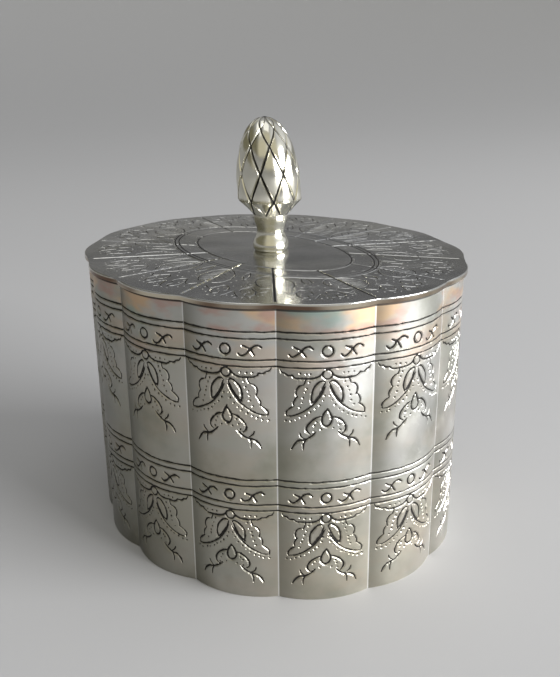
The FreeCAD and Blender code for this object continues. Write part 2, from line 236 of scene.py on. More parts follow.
# %% A sheet of metal to draw cuts on. Each cut's width varies a little, and narrows at its ends
TINY = 1e-12
SHAKE = 0.09
UNEVEN = 0.15
TAPER = 1.1
DOT_LENGTH = 0.02
DOT_SIDES = 6


def unit(directions):
    """The same directions, each one long."""
    return directions / np.maximum(np.linalg.norm(directions, axis=-1, keepdims=True), TINY)


class Sheet:
    """A flat sheet in millimetres, on which a hand that shakes a little cuts lines."""

    def __init__(self, seed):
        self.hand = np.random.default_rng(seed)
        self.cuts = []
        self.points = []
        self.edges = []

    def chain(self, path):
        """A row of points that the triangles may not cross."""
        first = len(self.points)
        self.points += [tuple(point) for point in path]
        self.edges += [(first + i, first + i + 1) for i in range(len(path) - 1)]

    def by_hand(self, points):
        """The points as a hand places them: the stroke a little off, and each point in it."""
        points = np.array(points, float)
        off = self.hand.normal(0, SHAKE, 2)
        return points + off + self.hand.normal(0, SHAKE / 2, points.shape)

    def cut(self, path, width, depth, ends=(1.0, 1.0), ink=1.0, pointed=True):
        """A groove along a path, narrowed to a share at each end. A pointed one runs out."""
        path = np.asarray(path, float)
        steps = np.linalg.norm(np.diff(path, axis=0), axis=1)
        run = np.concatenate([[0], np.cumsum(steps)])
        from_start = np.clip(run / TAPER, 0, 1)
        from_end = np.clip((run[-1] - run) / TAPER, 0, 1)
        shares = (ends[0] + (1 - ends[0]) * from_start) * (ends[1] + (1 - ends[1]) * from_end)
        shares *= 1 + self.hand.normal(0, UNEVEN, len(path)) * from_start * from_end
        along = np.gradient(path, axis=0)
        closed = np.allclose(path[0], path[-1])
        if closed:
            along[0] = along[-1] = path[1] - path[-2]
        along = unit(along)
        halves = width / 2 * shares
        across = np.stack([-along[:, 1], along[:, 0]], axis=1) * halves[:, None]
        self.cuts.append((path, halves, depth * np.sqrt(shares), ink))
        self.chain(path)
        if pointed and not closed:
            way_in = path[0] - along[0] * halves[0]
            way_out = path[-1] + along[-1] * halves[-1]
            self.chain([way_in, *(path + across), way_out, *(path - across)[::-1], way_in])
        else:
            self.chain(path + across)
            self.chain(path - across)

    def dot(self, x, y, radius, depth):
        """A round punched pit."""
        x, y = self.by_hand([(x, y)])[0]
        radius *= 1 + self.hand.normal(0, UNEVEN)
        path = np.array([[x - DOT_LENGTH / 2, y], [x + DOT_LENGTH / 2, y]])
        self.cuts.append((path, np.full(2, radius), np.full(2, depth), 1.0))
        self.points.append((x, y))
        self.chain(circle_path(x, y, radius, DOT_SIDES))


# %% [markdown]
# ## From cuts to triangles
#
# One helper makes a sheet's triangles, one finds how deep each point lies, and one keeps the
# plain points that fill the metal out of the cuts.

# %% Triangles, and how deep each point lies
SAME_PLACE = 1e-4
WHOLE_SHEET, INSIDE_EDGES = 0, 1


def triangles(sheet, kind=WHOLE_SHEET):
    """The sheet's points and triangles, with every cut's edges in them."""
    spots = [Vector(point) for point in sheet.points]
    made = geometry.delaunay_2d_cdt(spots, sheet.edges, [], kind, SAME_PLACE, False)
    places = np.array([tuple(spot) for spot in made[0]])
    return places, np.array([list(face) for face in made[2]])


def near_path(places, path, reach):
    """The places in the box round a path. Only they need measuring."""
    near = (places > path.min(0) - reach) & (places < path.max(0) + reach)
    return np.nonzero(np.all(near, axis=1))[0]


def sunk_places(sheet, places):
    """How deep each place lies, and how inked it is: not on plain metal, most in mid groove."""
    depth = np.zeros(len(places))
    blackness = np.zeros(len(places))
    for path, halves, depths, ink in sheet.cuts:
        chosen = near_path(places, path, halves.max())
        if len(chosen) == 0:
            continue
        start, step = path[:-1], np.diff(path, axis=0)
        away = places[chosen][:, None] - start[None]
        along = (away * step).sum(2) / (step ** 2).sum(1)
        along = np.clip(along, 0, 1)
        gap = np.linalg.norm(away - along[..., None] * step, axis=2)
        half = halves[:-1] + along * np.diff(halves)
        full = depths[:-1] + along * np.diff(depths)
        inside = np.clip(1 - gap / half, 0, 1)
        blackness[chosen] = np.maximum(blackness[chosen], ink * inside.max(1))
        depth[chosen] = np.maximum(depth[chosen], (inside * full).max(1))
    return depth, blackness


def clear_of_cuts(sheet, places, margin):
    """The places that are not in or right beside a cut."""
    kept = np.ones(len(places), bool)
    for path, halves, _, _ in sheet.cuts:
        reach = halves.max() + margin
        chosen = near_path(places, path, reach)
        if len(chosen):
            gap = np.linalg.norm(places[chosen][:, None] - path[None], axis=2).min(1)
            kept[chosen[gap < reach]] = False
    return places[kept]


# %% [markdown]
# ## One panel of the wall
#
# All fourteen lobes carry the same engraving, so its points are written down once, for a flat
# panel as wide as a lobe. Across is measured from the lobe's middle, and up from the foot. Only
# the right half of a hanging motif is here, with heights counted from the middle of its band. An
# engraver never cuts the same leaf twice, so each lobe is drawn again with an unsteady hand.

# %% The hanging motif, right half, in millimetres
BAND_MIDDLES = (65.0, 28.3)
LINE_HEIGHTS = (4.1, 2.5, -2.5, -4.1)

PETAL = [(0.55, -7.6), (0.9, -7.2), (1.9, -7.4), (3.0, -8.5), (3.6, -9.7), (3.8, -11.3), (3.6, -12.5)]
PETAL_BACK = [(3.6, -12.5), (2.9, -12.1), (1.9, -10.7), (1.1, -9.2), (0.55, -7.6)]
TOP_LEAF = [(1.0, -4.75), (1.6, -5.8), (3.0, -6.4), (4.8, -6.5), (6.6, -6.5)]
TOP_LEAF_TIP = [
    (6.6, -6.5), (7.4, -6.2), (7.7, -5.8), (8.8, -5.85), (9.5, -5.3), (10.2, -5.2), (10.7, -4.4),
]
LEAF_OUTSIDE = [
    [(5.0, -6.6), (5.2, -7.4), (5.5, -8.0)],
    [(5.5, -8.0), (6.4, -8.3), (7.1, -9.2), (7.15, -10.3), (6.9, -11.0)],
    [(6.9, -11.0), (7.5, -11.7), (7.8, -12.6), (7.7, -13.3)],
    [(7.7, -13.3), (8.7, -14.0), (9.5, -15.0), (9.35, -15.9)],
]
LEAF_INSIDE = [
    (0.35, -8.4), (1.4, -10.5), (2.8, -12.5), (4.4, -13.9), (6.1, -15.0), (8.0, -15.8),
    (9.35, -15.9),
]
LEAF_DOTS = [(4.2, -7.5), (4.7, -8.8), (5.2, -9.9), (5.5, -11.0), (5.7, -12.2), (6.3, -13.5)]
TOP_DOTS = [(3.6, -5.45), (4.9, -5.45), (6.3, -5.4)]
LOW_DOTS = [
    (0.6, -10.6), (1.1, -11.8), (1.9, -12.9), (2.8, -13.9), (3.8, -14.7),
    (4.9, -15.4), (6.0, -16.0), (7.2, -16.5), (8.3, -16.9), (9.6, -17.0),
]
DROP = [(0.0, -13.9), (0.85, -15.3), (1.2, -16.75), (0.75, -17.8), (0.0, -18.15)]
DROP_DOTS = [(1.4, -18.8), (2.9, -18.0), (2.4, -17.1), (3.1, -19.4)]
CURL = [(1.2, -15.7), (2.4, -16.1), (3.7, -17.1), (4.5, -18.4), (4.4, -19.5), (3.7, -20.1)]
BRANCH = [
    (2.4, -19.5), (3.2, -20.4), (4.3, -21.2), (5.2, -21.6), (6.5, -21.9), (7.5, -22.8),
    (8.1, -24.0),
]
TWIG_DOWN = [(5.0, -21.6), (5.5, -22.6), (5.5, -23.9)]
TWIG_UP = [(5.1, -21.3), (6.0, -20.6), (6.3, -19.8)]
ALL_DOTS = LEAF_DOTS + TOP_DOTS + LOW_DOTS + DROP_DOTS

# %% The band's ring and scroll. The scroll is not mirrored: both of a lobe's scrolls lean one way
SCROLL = [(-2.8, -0.9), (-2.1, -1.5), (-1.0, -1.1), (-0.1, 0.0), (0.9, 0.8), (1.9, 1.0), (2.7, 0.45)]
SCROLL_CROSS = [(-1.6, 0.8), (-0.9, 0.45), (0.0, 0.1), (0.4, -0.6), (0.9, -1.4)]
SCROLL_PLACES = (-6.0, 5.8)
SCROLL_ENDS = (0.85, 0.85)
RING_RADIUS, RING_HEIGHT = 1.25, -0.1
BOSS_RADIUS, BOSS_HEIGHT = 1.1, -5.6

# %% How wide and how deep each stroke is cut, and how its two ends narrow
FULL_CUT, FINE_CUT, LINE_CUT = (0.92, 0.36), (0.74, 0.30), (0.76, 0.30)
PANEL_DOT = (0.4, 0.26)
MOTIF_STROKES = [
    (PETAL, FULL_CUT, (0.4, 0.8)),
    (PETAL_BACK, FULL_CUT, (0.8, 0.4)),
    (TOP_LEAF, FULL_CUT, (0.6, 0.8)),
    (TOP_LEAF_TIP, FINE_CUT, (0.9, 0.4)),
    (LEAF_INSIDE, FINE_CUT, (0.3, 0.5)),
    (DROP, FULL_CUT, (0.7, 1.0)),
    (CURL, FULL_CUT, (0.5, 0.5)),
    (BRANCH, FULL_CUT, (0.4, 0.6)),
    (TWIG_DOWN, FINE_CUT, (0.8, 0.6)),
    (TWIG_UP, FINE_CUT, (0.5, 0.8)),
    *((scallop, FINE_CUT, (0.5, 0.7)) for scallop in LEAF_OUTSIDE),
]
print("half a motif has", len(MOTIF_STROKES), "strokes and", len(ALL_DOTS), "dots")

# %% Draw one panel
LINE_STEPS = 29
LINE_WANDER = 0.05
STEADY = (0.25, 0.5, 0.25)
CREASE_WIDTH = 0.3
COLUMN_STEP, ROW_STEP = 1.15, 2.4
COLUMNS = np.linspace(-LOBE_REACH, LOBE_REACH, round(2 * LOBE_REACH / COLUMN_STEP) + 1)
EDGE_ROWS = (0.0, 0.12, 0.35)
PLAIN_MARGIN = 0.25


def placed(points, middle, side=1):
    """Listed points, moved to a band and perhaps mirrored."""
    return [(side * x, middle + y) for x, y in points]


def draw_hanging_motif(sheet, middle):
    for side in (-1, 1):
        for points, size, ends in MOTIF_STROKES:
            path = smooth_path(sheet.by_hand(placed(points, middle, side)))
            sheet.cut(path, *size, ends)
        for x, y in placed(ALL_DOTS, middle, side):
            sheet.dot(x, y, *PANEL_DOT)
    sheet.cut(circle_path(0, middle + BOSS_HEIGHT, BOSS_RADIUS), *FINE_CUT)


def draw_band(sheet, middle):
    across = np.linspace(-LOBE_REACH, LOBE_REACH, LINE_STEPS)
    for height in LINE_HEIGHTS:
        wander = sheet.hand.normal(0, LINE_WANDER, LINE_STEPS)
        wander[[0, 1, -2, -1]] = 0
        wander = np.convolve(wander, STEADY, "same")
        line = np.column_stack([across, middle + height + wander])
        sheet.cut(line, *LINE_CUT, pointed=False)
    sheet.cut(circle_path(0, middle + RING_HEIGHT, RING_RADIUS), *FULL_CUT)
    for place in SCROLL_PLACES:
        for stroke in (SCROLL, SCROLL_CROSS):
            stroke = sheet.by_hand([(place + x, middle + y) for x, y in stroke])
            sheet.cut(smooth_path(stroke), *FULL_CUT, SCROLL_ENDS)


def draw_panel(seed):
    sheet = Sheet(seed)
    for middle in BAND_MIDDLES:
        draw_band(sheet, middle)
        draw_hanging_motif(sheet, middle)
    rows = np.linspace(0, WALL_TOP, round(WALL_TOP / ROW_STEP) + 1)
    plain = np.array([(x, y) for x in COLUMNS[1:-1] for y in rows[1:-1]])
    sheet.points += [tuple(place) for place in clear_of_cuts(sheet, plain, PLAIN_MARGIN)]
    for x in (-LOBE_REACH, -LOBE_REACH + CREASE_WIDTH, LOBE_REACH - CREASE_WIDTH, LOBE_REACH):
        sheet.chain([(x, y) for y in rows])
    for near_edge in EDGE_ROWS:
        sheet.chain([(x, near_edge) for x in COLUMNS])
        sheet.chain([(x, WALL_TOP - near_edge) for x in COLUMNS])
    return sheet


print("one panel holds", len(draw_panel(0).cuts), "cuts")

# %% [markdown]
# ## From flat arrays to a Blender object
#
# Triangles and the way the metal faces at their corners go straight into a mesh. Plain metal
# gets the facing of the true curve, so reflections run smoothly over large triangles. In a
# groove each triangle keeps its own flat facing, so its two sides stay crisp.


# %% A mesh from points, triangles and corner directions
def square_to(points, faces):
    """A direction square to each triangle, as long as twice its area."""
    corners = points[faces]
    return np.cross(corners[:, 1] - corners[:, 0], corners[:, 2] - corners[:, 0])


def make_piece(name, points, faces, facing, marks):
    """Points in millimetres, and one direction for each triangle's corner."""
    mesh = bpy.data.meshes.new(name)
    mesh.from_pydata((points * MM).tolist(), [], faces.tolist())
    mesh.polygons.foreach_set("use_smooth", np.ones(len(faces), bool))
    for mark, values in marks.items():
        attribute = mesh.attributes.new(mark, "FLOAT", "POINT")
        attribute.data.foreach_set("value", values.astype(np.float32))
    mesh.normals_split_custom_set(facing.reshape(-1, 3).tolist())
    print(name, len(points), "points", len(faces), "triangles")
    return put_in_scene(name, mesh)


# %% Parts of one mesh are collected, and joined where their points meet
MEETING_DIGITS = 4


class Parcel:
    """Points, triangles and facings, and the marks that the finish reads."""

    def __init__(self):
        self.points, self.faces, self.facing = [], [], []
        self.marks = {"groove": [], "crease": [], "flank": []}
        self.count = 0

    def add(self, points, faces, facing, **marks):
        self.points.append(points)
        self.faces.append(faces + self.count)
        self.facing.append(facing)
        for mark, values in self.marks.items():
            values.append(marks.get(mark, np.zeros(len(points))))
        self.count += len(points)

    def piece(self, name):
        points = np.concatenate(self.points)
        faces = np.concatenate(self.faces)
        facing = np.concatenate(self.facing)
        near = points.round(MEETING_DIGITS)
        _, kept, where = np.unique(near, axis=0, return_index=True, return_inverse=True)
        faces = where.reshape(-1)[faces]
        whole = np.ones(len(faces), bool)
        for first, second in ((0, 1), (1, 2), (2, 0)):
            whole &= faces[:, first] != faces[:, second]
        marks = {mark: np.concatenate(values)[kept] for mark, values in self.marks.items()}
        return make_piece(name, points[kept], faces[whole], facing[whole], marks)


def ring_strip(lower, upper, lower_facing, upper_facing):
    """Triangles between two closed rows of points, one above the other."""
    count = len(lower)
    points = np.concatenate([lower, upper])
    facing = np.concatenate([lower_facing, upper_facing])
    here = np.arange(count)
    following = (here + 1) % count
    first = np.stack([here, following, following + count], axis=1)
    second = np.stack([here, following + count, here + count], axis=1)
    faces = np.concatenate([first, second])
    return points, faces, facing[faces]


def raised(flat, height):
    """Plan points at one height, and in space."""
    return np.column_stack([flat, np.full(len(flat), height)])


# %% [markdown]
# ## The wall
#
# On the real box the wall is one strip, chased into lobes and soldered at its ends. A curve with
# a bevel can't hold engraving, so each flat panel is bent round its own lobe: a point's place
# across the panel becomes an angle, and its depth goes inwards. At a crease the metal faces
# halfway between two lobes, which makes it soft. The inside is one plain strip.

# %% A panel bent round its lobe
EDGE_ROUND = 0.35
SMOOTH_DEPTH = 0.004
# The width over which shade is painted on the left side of each lobe, from its crease inwards.
SHADED_FLANK_WIDTH = 9.0


def crease_facing(index):
    before = crease_at(index, 0) - lobe_centre(index - 1)
    after = crease_at(index, 0) - lobe_centre(index)
    mean = before / np.linalg.norm(before) + after / np.linalg.norm(after)
    return mean / np.linalg.norm(mean)


def on_wall(index, across, height, depth):
    """Points on one lobe, sunk by a depth, and the way plain metal faces there."""
    centre, middle = lobe_centre(index), lobe_facing(index)
    sideways = np.array([-middle[1], middle[0]])
    angle = across / LOBE_RADIUS
    ray = np.outer(np.cos(angle), middle) + np.outer(np.sin(angle), sideways)
    beside = np.clip((np.abs(across) - LOBE_REACH) / CREASE_WIDTH + 1, 0, 1)[:, None]
    towards = np.where(across[:, None] < 0, crease_facing(index), crease_facing(index + 1))
    facing = ray * (1 - beside) + towards * beside
    facing = unit(facing)
    plan = centre + ray * LOBE_RADIUS - facing * depth[:, None]
    return np.column_stack([plan, height]), np.column_stack([facing, np.zeros(len(facing))])


def edge_tuck(height):
    """How far the sheet's edges are rounded back at the foot and at the top."""
    near = np.minimum(height, WALL_TOP - height)
    share = np.clip(1 - near / EDGE_ROUND, 0, 1)
    return EDGE_ROUND * (1 - np.sqrt(1 - share ** 2))


def bend_panel(parcel, index):
    sheet = draw_panel(index)
    places, faces = triangles(sheet)
    sunk, groove = sunk_places(sheet, places)
    points, facing = on_wall(index, *places.T, sunk + edge_tuck(places[:, 1]))
    facing = facing[faces]
    in_cut = sunk[faces].max(1) > SMOOTH_DEPTH
    facing[in_cut] = unit(square_to(points, faces))[in_cut][:, None]
    crease = np.clip(1 - (LOBE_REACH - np.abs(places[:, 0])) / CREASE_WIDTH, 0, 1)
    # Painted shade: 1 at each lobe's left crease, 0 a set width in; the finish darkens that side with
    # it.
    flank = np.clip(1 - (LOBE_REACH + places[:, 0]) / SHADED_FLANK_WIDTH, 0, 1)
    parcel.add(points, faces, facing, groove=groove, crease=crease, flank=flank)


# %% Fourteen panels, the plain inside and the two rims
WALL_THICKNESS = 1.1


def build_wall():
    parcel = Parcel()
    for index in range(LOBES):
        bend_panel(parcel, index)
    inside, ray = outline(-WALL_THICKNESS, len(COLUMNS) - 1)
    inward = raised(-ray, 0)
    parcel.add(*ring_strip(raised(inside, WALL_TOP), raised(inside, 0), inward, inward))
    for height, up in ((WALL_TOP, 1.0), (0.0, -1.0)):
        tucked = np.full(len(COLUMNS) - 1, EDGE_ROUND)
        level = np.full(len(COLUMNS) - 1, height)
        rows = [on_wall(index, COLUMNS[:-1], level, tucked)[0] for index in range(LOBES)]
        facing = np.tile([0.0, 0.0, up], (len(inside), 1))
        edges = [np.concatenate(rows), raised(inside, height)]
        if up < 0:
            edges.reverse()
        parcel.add(*ring_strip(*edges, facing, facing))
    return parcel.piece("wall")


wall = build_wall()
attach(wall, "root")
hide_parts("body_wall")

# %% [markdown]
# ## The lid
#
# The lid is a flat plate, so its engraving is laid out in plan. A line runs in from every crease
# to an oval round the plain centre, and cuts the plate into fourteen sectors. One sector's
# ornament is drawn in shares: across from one line to the next, and out from the oval to the rim.
# Each sector stretches it to fit, as an engraver does by eye. The lines towards the right end
# still hold their black, and the others are rubbed bright.

# %% Rays across the lid
LID_OVERHANG = 0.85
RIM_ROUND = 0.3
INNER_OVAL = (27.6, 16.0)
OUTER_OVAL = (34.6, 20.6)
OVAL_PITCH = 1.1


def oval_reach(ray, oval, more=0.0):
    return 1 / math.hypot(ray[0] / (oval[0] + more), ray[1] / (oval[1] + more))


def rim_reach(ray, index):
    """How far the lid's outline is along a ray through this lobe."""
    centre = lobe_centre(index)
    along = ray @ centre
    radius = LOBE_RADIUS + LID_OVERHANG
    return along + math.sqrt(along ** 2 - centre @ centre + radius ** 2)


def in_sector(index, points):
    """Places given as (-1 to 1 across, 0 to 1 outwards), on the lid in millimetres."""
    left, right = CREASES[index % LOBES], CREASES[(index + 1) % LOBES]
    made = []
    for across, outwards in points:
        ray = left * (1 - across) / 2 + right * (1 + across) / 2
        ray = ray / np.linalg.norm(ray)
        start = oval_reach(ray, OUTER_OVAL, OVAL_PITCH)
        made.append(ray * (start + outwards * (rim_reach(ray, index) - start)))
    return made


# %% One sector's ornament, one half of it, in shares
LEAF_EDGE = [(0.9, 0.04), (0.62, 0.1), (0.42, 0.24), (0.5, 0.4), (0.72, 0.5), (0.93, 0.52)]
SCROLL_LONG = [
    (0.86, 0.6), (0.66, 0.66), (0.5, 0.6), (0.36, 0.52), (0.2, 0.56), (0.16, 0.64), (0.24, 0.68),
]
SCROLL_SHORT = [(0.5, 0.6), (0.52, 0.72), (0.42, 0.79), (0.3, 0.76), (0.32, 0.7)]
TULIP = [(0.0, 0.66), (0.1, 0.76), (0.17, 0.82), (0.1, 0.86)]
BUD = [(0.0, 0.02), (0.1, 0.1), (0.12, 0.2), (0.0, 0.3)]
LID_STROKES = [LEAF_EDGE, SCROLL_LONG, SCROLL_SHORT, TULIP, BUD]
LID_DOTS = [
    (0.74, 0.74), (0.62, 0.78), (0.46, 0.84), (0.3, 0.84), (0.06, 0.8), (0.3, 0.42), (0.18, 0.34),
    (0.08, 0.28), (0.78, 0.66), (0.4, 0.66), (0.1, 0.5),
]
print("half a sector has", len(LID_STROKES), "strokes and", len(LID_DOTS), "dots")

# %% Widths and depths on the lid, and how much ink the cuts still hold
LID_CUT, LID_HATCH, LID_LINE, LID_DOT = (0.46, 0.22), (0.32, 0.15), (0.80, 0.30), (0.28, 0.17)
LID_ENDS, HATCH_ENDS, FLECK_ENDS = (0.4, 0.4), (0.9, 0.2), (0.9, 0.3)
OVAL_DARK, OVAL_LIGHT = (0.58, 0.15), (0.44, 0.17)
NO_INK, SOME_INK, MORE_INK, MOST_INK = 0.2, 1.25, 1.6, 1.8

# %% Hatching in each sector, and flecks where the graver slipped
HATCH_LINES = 9
HATCH_EDGE, HATCH_SLANT = 0.93, 0.2
HATCH_START, HATCH_SPREAD = 0.05, 0.42
HATCH_SHORTEST, HATCH_MORE = 0.1, 0.28
HATCH_FIRST, HATCH_TURN = 0.15, 0.8
FLECKS = 14
FLECKS_FROM, FLECKS_TO = (-0.85, -0.3), (0.85, 0.8)
FLECK_SHORTEST, FLECK_LONGEST = (0.06, -0.03), (0.16, 0.03)


def draw_hatching(sheet, index, side):
    for number in range(HATCH_LINES):
        share = number / (HATCH_LINES - 1)
        start = HATCH_START + HATCH_SPREAD * share
        turn = math.pi * (HATCH_FIRST + HATCH_TURN * share)
        length = HATCH_SHORTEST + HATCH_MORE * math.sin(turn)
        end = (side * (HATCH_EDGE - length), start + HATCH_SLANT * length)
        stroke = sheet.by_hand(in_sector(index, [(side * HATCH_EDGE, start), end]))
        sheet.cut(stroke, *LID_HATCH, HATCH_ENDS, ink=(NO_INK, MOST_INK)[number % 2])


def draw_flecks(sheet, index):
    for _ in range(FLECKS):
        x, y = sheet.hand.uniform(FLECKS_FROM, FLECKS_TO)
        long, slant = sheet.hand.uniform(FLECK_SHORTEST, FLECK_LONGEST)
        stroke = in_sector(index, [(x, y), (x + long, y + slant)])
        ink = sheet.hand.choice((NO_INK, MORE_INK))
        sheet.cut(stroke, *LID_HATCH, FLECK_ENDS, ink=ink)


# %% Draw the whole lid
LINE_STOPS, LINE_POINTS = 0.6, 40
KEEPS_BLACK = 0.5
OVAL_GAP, OVAL_POINTS = 0.52, 161
RIM_SIDES = 16


def draw_sector(sheet, index):
    for side in (-1, 1):
        for stroke in LID_STROKES:
            stroke = sheet.by_hand(in_sector(index, [(side * x, y) for x, y in stroke]))
            sheet.cut(smooth_path(stroke), *LID_CUT, LID_ENDS, ink=SOME_INK)
        draw_hatching(sheet, index, side)
        for x, y in in_sector(index, [(side * x, y) for x, y in LID_DOTS]):
            sheet.dot(x, y, *LID_DOT)
    draw_flecks(sheet, index)


def draw_crease_line(sheet, index):
    """From a crease in to the oval. Only towards +X does the line still hold its ink."""
    ray = CREASES[index] / np.linalg.norm(CREASES[index])
    end = crease_at(index, LID_OVERHANG - RIM_ROUND) - ray * LINE_STOPS
    start = ray * oval_reach(ray, INNER_OVAL)
    ink = MORE_INK if ray[0] > KEEPS_BLACK else NO_INK
    sheet.cut(np.linspace(start, end, LINE_POINTS), *LID_LINE, ink=ink)


def oval_path(oval, more=0.0):
    return (np.array(oval) + more) * circle(np.linspace(0, 2 * math.pi, OVAL_POINTS))


def draw_lid():
    sheet = Sheet(LOBES)
    for oval, more in ((INNER_OVAL, 0.0), (OUTER_OVAL, 0.0), (OUTER_OVAL, OVAL_PITCH)):
        sheet.cut(oval_path(oval, more), *OVAL_DARK, ink=MOST_INK)
    for oval, more in ((INNER_OVAL, 0.0), (OUTER_OVAL, OVAL_PITCH)):
        sheet.cut(oval_path(oval, more + OVAL_GAP), *OVAL_LIGHT, ink=NO_INK)
    for index in range(LOBES):
        draw_sector(sheet, index)
        draw_crease_line(sheet, index)
    edge, _ = outline(LID_OVERHANG - RIM_ROUND, RIM_SIDES)
    sheet.chain([*edge, edge[0]])
    return sheet


lid_sheet = draw_lid()
print("the lid holds", len(lid_sheet.cuts), "cuts")

# %% Build the lid: its engraved top, the rounded rim, and the underside out to the rim
RIM_STEPS = 4


def add_top(parcel, sheet):
    places, faces = triangles(sheet, INSIDE_EDGES)
    depth, groove = sunk_places(sheet, places)
    points = np.column_stack([places, LID_TOP - depth])
    facing = np.tile([0.0, 0.0, 1.0], (len(faces), 3, 1))
    in_cut = depth[faces].max(1) > SMOOTH_DEPTH
    facing[in_cut] = unit(square_to(points, faces))[in_cut][:, None]
    parcel.add(points, faces, facing, groove=groove)


def add_rim(parcel):
    rows, facings = [], []
    for number in range(RIM_STEPS + 1):
        angle = math.pi / 2 * number / RIM_STEPS
        edge, ray = outline(LID_OVERHANG - RIM_ROUND * (1 - math.sin(angle)), RIM_SIDES)
        rows.append(raised(edge, LID_TOP - RIM_ROUND * (1 - math.cos(angle))))
        facings.append(raised(ray * math.sin(angle), math.cos(angle)))
    for lower, upper, low, high in zip(rows[1:], rows, facings[1:], facings):
        parcel.add(*ring_strip(lower, upper, low, high))
    edge, ray = outline(LID_OVERHANG, RIM_SIDES)
    level = raised(ray, 0)
    parcel.add(*ring_strip(raised(edge, WALL_TOP), rows[-1], level, level))


def build_lid():
    parcel = Parcel()
    add_top(parcel, lid_sheet)
    add_rim(parcel)
    edge, _ = outline(LID_OVERHANG, RIM_SIDES)
    inside, _ = outline(-WALL_THICKNESS, RIM_SIDES)
    down = np.tile([0.0, 0.0, -1.0], (len(edge), 1))
    parcel.add(*ring_strip(raised(inside, WALL_TOP), raised(edge, WALL_TOP), down, down))
    return parcel.piece("lid")


lid = build_lid()
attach(lid, "root")
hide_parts("lid_plate")

# %% [markdown]
# ## The finial
#
# The finial is a casting: a turned stem, and an acorn covered with a lattice of pointed,
# pillowed facets. One small grid is laid on every diamond of the lattice. A place on the acorn
# is given by its row, from the lowest points up to the tip, and by its step round the axis.

# %% The acorn's outline, and any place on it
LATTICE = 8
LAST_ROW = 5
HALF_STEP = math.pi / LATTICE
FINIAL_TURN = math.radians(-7.2)
ACORN_LEAN = 0.05
ACORN_RADIUS = 8.75
ACORN_START, SHOULDER = 9.9, 14.0
STEM_TOP_RADIUS = 4.7
FINIAL_HEIGHT = FINIAL_TOP - LID_TOP
ROW_SHARES = np.array([0.0, 0.34, 0.68, 0.88, 1.0])
OVAL_POWER = 2.6
NEVER_ZERO = 1e-9


def acorn_outline(row):
    """Radius and height above the lid, at places between the rows."""
    share = np.interp(row, np.arange(1, LAST_ROW + 1), ROW_SHARES)
    radius = ACORN_RADIUS * np.sqrt(np.clip(1 - share ** OVAL_POWER, 0, 1))
    height = SHOULDER + (FINIAL_HEIGHT - SHOULDER) * share
    under = np.clip(row, 0, 1)
    low = row < 1
    radius = np.where(low, STEM_TOP_RADIUS + (ACORN_RADIUS - STEM_TOP_RADIUS) * under, radius)
    return radius, np.where(low, ACORN_START + (SHOULDER - ACORN_START) * under, height)


def acorn_places(row, step, sunk):
    """Places sunk towards the acorn's middle. It leans away from the bright side."""
    radius, height = acorn_outline(row)
    rise = np.clip(height - (SHOULDER + FINIAL_HEIGHT) / 2, 0, None)
    length = np.hypot(radius, rise) + NEVER_ZERO
    radius = radius - sunk * radius / length
    height = height - sunk * rise / length
    angle = FINIAL_TURN + step * HALF_STEP
    lean = ACORN_LEAN * (height - ACORN_START)
    across = radius * np.cos(angle) - TO_BRIGHT_SIDE[0] * lean
    along = radius * np.sin(angle) - TO_BRIGHT_SIDE[1] * lean
    return np.column_stack([across, along, LID_TOP + height])


# %% One facet: grooves along its four sides, and a pillow between them
GROOVE_SHARE = 0.075
GROOVE_DEPTH = 0.45
PILLOW = 0.6
LOW_REACH = 0.5
UNDER_DEPTH = 0.5
POINT_PROUD = 0.3
FACET_STEPS = 10
IN_GROOVE = 0.5


def facet_grid():
    """Shares along a facet's side: close together in the grooves, even between them."""
    inner = np.linspace(GROOVE_SHARE, 1 - GROOVE_SHARE, FACET_STEPS - 1)
    return np.concatenate([[0], inner, [1]])


def facet_depth(row, place, right, left):
    """How deep each place on a facet lies, and how much of it is groove."""
    near = np.minimum(np.minimum(right, 1 - right), np.minimum(left, 1 - left))
    groove = np.clip(1 - near / GROOVE_SHARE, 0, 1)
    swell = np.sqrt(np.clip(16 * right * (1 - right) * left * (1 - left), 0, 1))
    size = acorn_outline(place)[0] / ACORN_RADIUS
    sunk = size * (GROOVE_DEPTH * groove + PILLOW * (1 - swell))
    low = np.clip(1 - place / LOW_REACH, 0, 1)
    if row == 0:
        sunk = (GROOVE_DEPTH * groove + UNDER_DEPTH) * (1 - low)
    if row == 1:
        sunk = sunk * (1 - low) - POINT_PROUD * low
    return sunk, groove


# %% A facet's triangles
def grid_faces(side):
    corner = (np.arange(side - 1)[:, None] * side + np.arange(side - 1)).ravel()
    lower = np.stack([corner, corner + side, corner + side + 1], axis=1)
    upper = np.stack([corner, corner + side + 1, corner + 1], axis=1)
    return np.concatenate([lower, upper])


def without_slivers(points, faces):
    sides = points[faces] - points[np.roll(faces, 1, axis=1)]
    return faces[np.linalg.norm(sides, axis=2).min(1) > SAME_PLACE]


def soft_facing(points, faces, groups):
    """Corner directions that run smoothly inside a group of triangles."""
    key = faces + (groups * len(points))[:, None]
    total = np.zeros((len(points) * (groups.max() + 1), 3))
    for corner in range(3):
        np.add.at(total, key[:, corner], square_to(points, faces))
    return unit(total[key])


def add_facet(parcel, row, step):
    shares = facet_grid()
    right, left = (grid.ravel() for grid in np.meshgrid(shares, shares, indexing="ij"))
    place = np.clip(row - 1 + right + left, 0, LAST_ROW)
    sunk, groove = facet_depth(row, place, right, left)
    points = acorn_places(place, step + right - left, sunk)
    faces = without_slivers(points, grid_faces(len(shares)))
    walls = (groove[faces].max(1) > IN_GROOVE).astype(int)
    under = (place[faces].mean(1) < 1).astype(int)
    parcel.add(points, faces, soft_facing(points, faces, walls + 2 * under), groove=groove)


